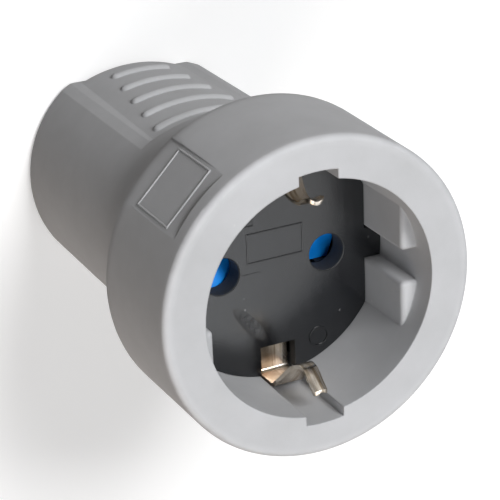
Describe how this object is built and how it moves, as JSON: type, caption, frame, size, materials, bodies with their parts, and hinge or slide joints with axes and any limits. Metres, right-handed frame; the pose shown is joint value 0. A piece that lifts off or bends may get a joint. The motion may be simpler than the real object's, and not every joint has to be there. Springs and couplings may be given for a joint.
{
  "type": "rubber in-line schuko socket",
  "caption": "In-line earthed mains socket in a round rubber body: a flared collar with a deep plug recess, side earth clips, a shuttered contact insert and a cable entry at the grip end.",
  "frame": {"origin": "centre of the flat cable end, which the part stands on", "axes": "+Z along the socket's axis from the cable end out of the mouth, +X through the pin holes, +Y through the earth clips"},
  "size_m": [0.0542, 0.0542, 0.073],
  "materials": {
    "grey_rubber": "satin moulded rubber",
    "dark_plastic": "matt, slightly rough",
    "blue_plastic": "smooth",
    "plated_brass": "bright nickel plating over brass",
    "brass": "plain",
    "spring_steel": "drawn wire",
    "screw_steel": "zinc plated"
  },
  "bodies": {
    "socket": {"rubber_body": "grey_rubber", "insert_face": "dark_plastic", "contact_carrier": "dark_plastic", "shutter_spring": "spring_steel", "earth_strip": "plated_brass", "earth_terminal": "brass", "earth_terminal_screw": "screw_steel", "live_contact": "brass", "neutral_contact": "brass", "live_terminal": "brass", "neutral_terminal": "brass", "live_terminal_screw": "screw_steel", "neutral_terminal_screw": "screw_steel", "cord_clamp": "dark_plastic", "cord_clamp_screws": "screw_steel", "insert_screws": "screw_steel"},
    "shutter": {"shutter": "blue_plastic"}
  },
  "joints": [
    {"name": "shutter_turn", "type": "hinge", "parent": "socket", "child": "shutter", "pos_m": [0, 0, 0.0525], "axis": [0, 0, 1], "range_deg": [0, 40], "stiffness_Nm_per_rad": 0.003, "springref_deg": -17.19, "deforming": ["shutter_spring"]}
  ]
}
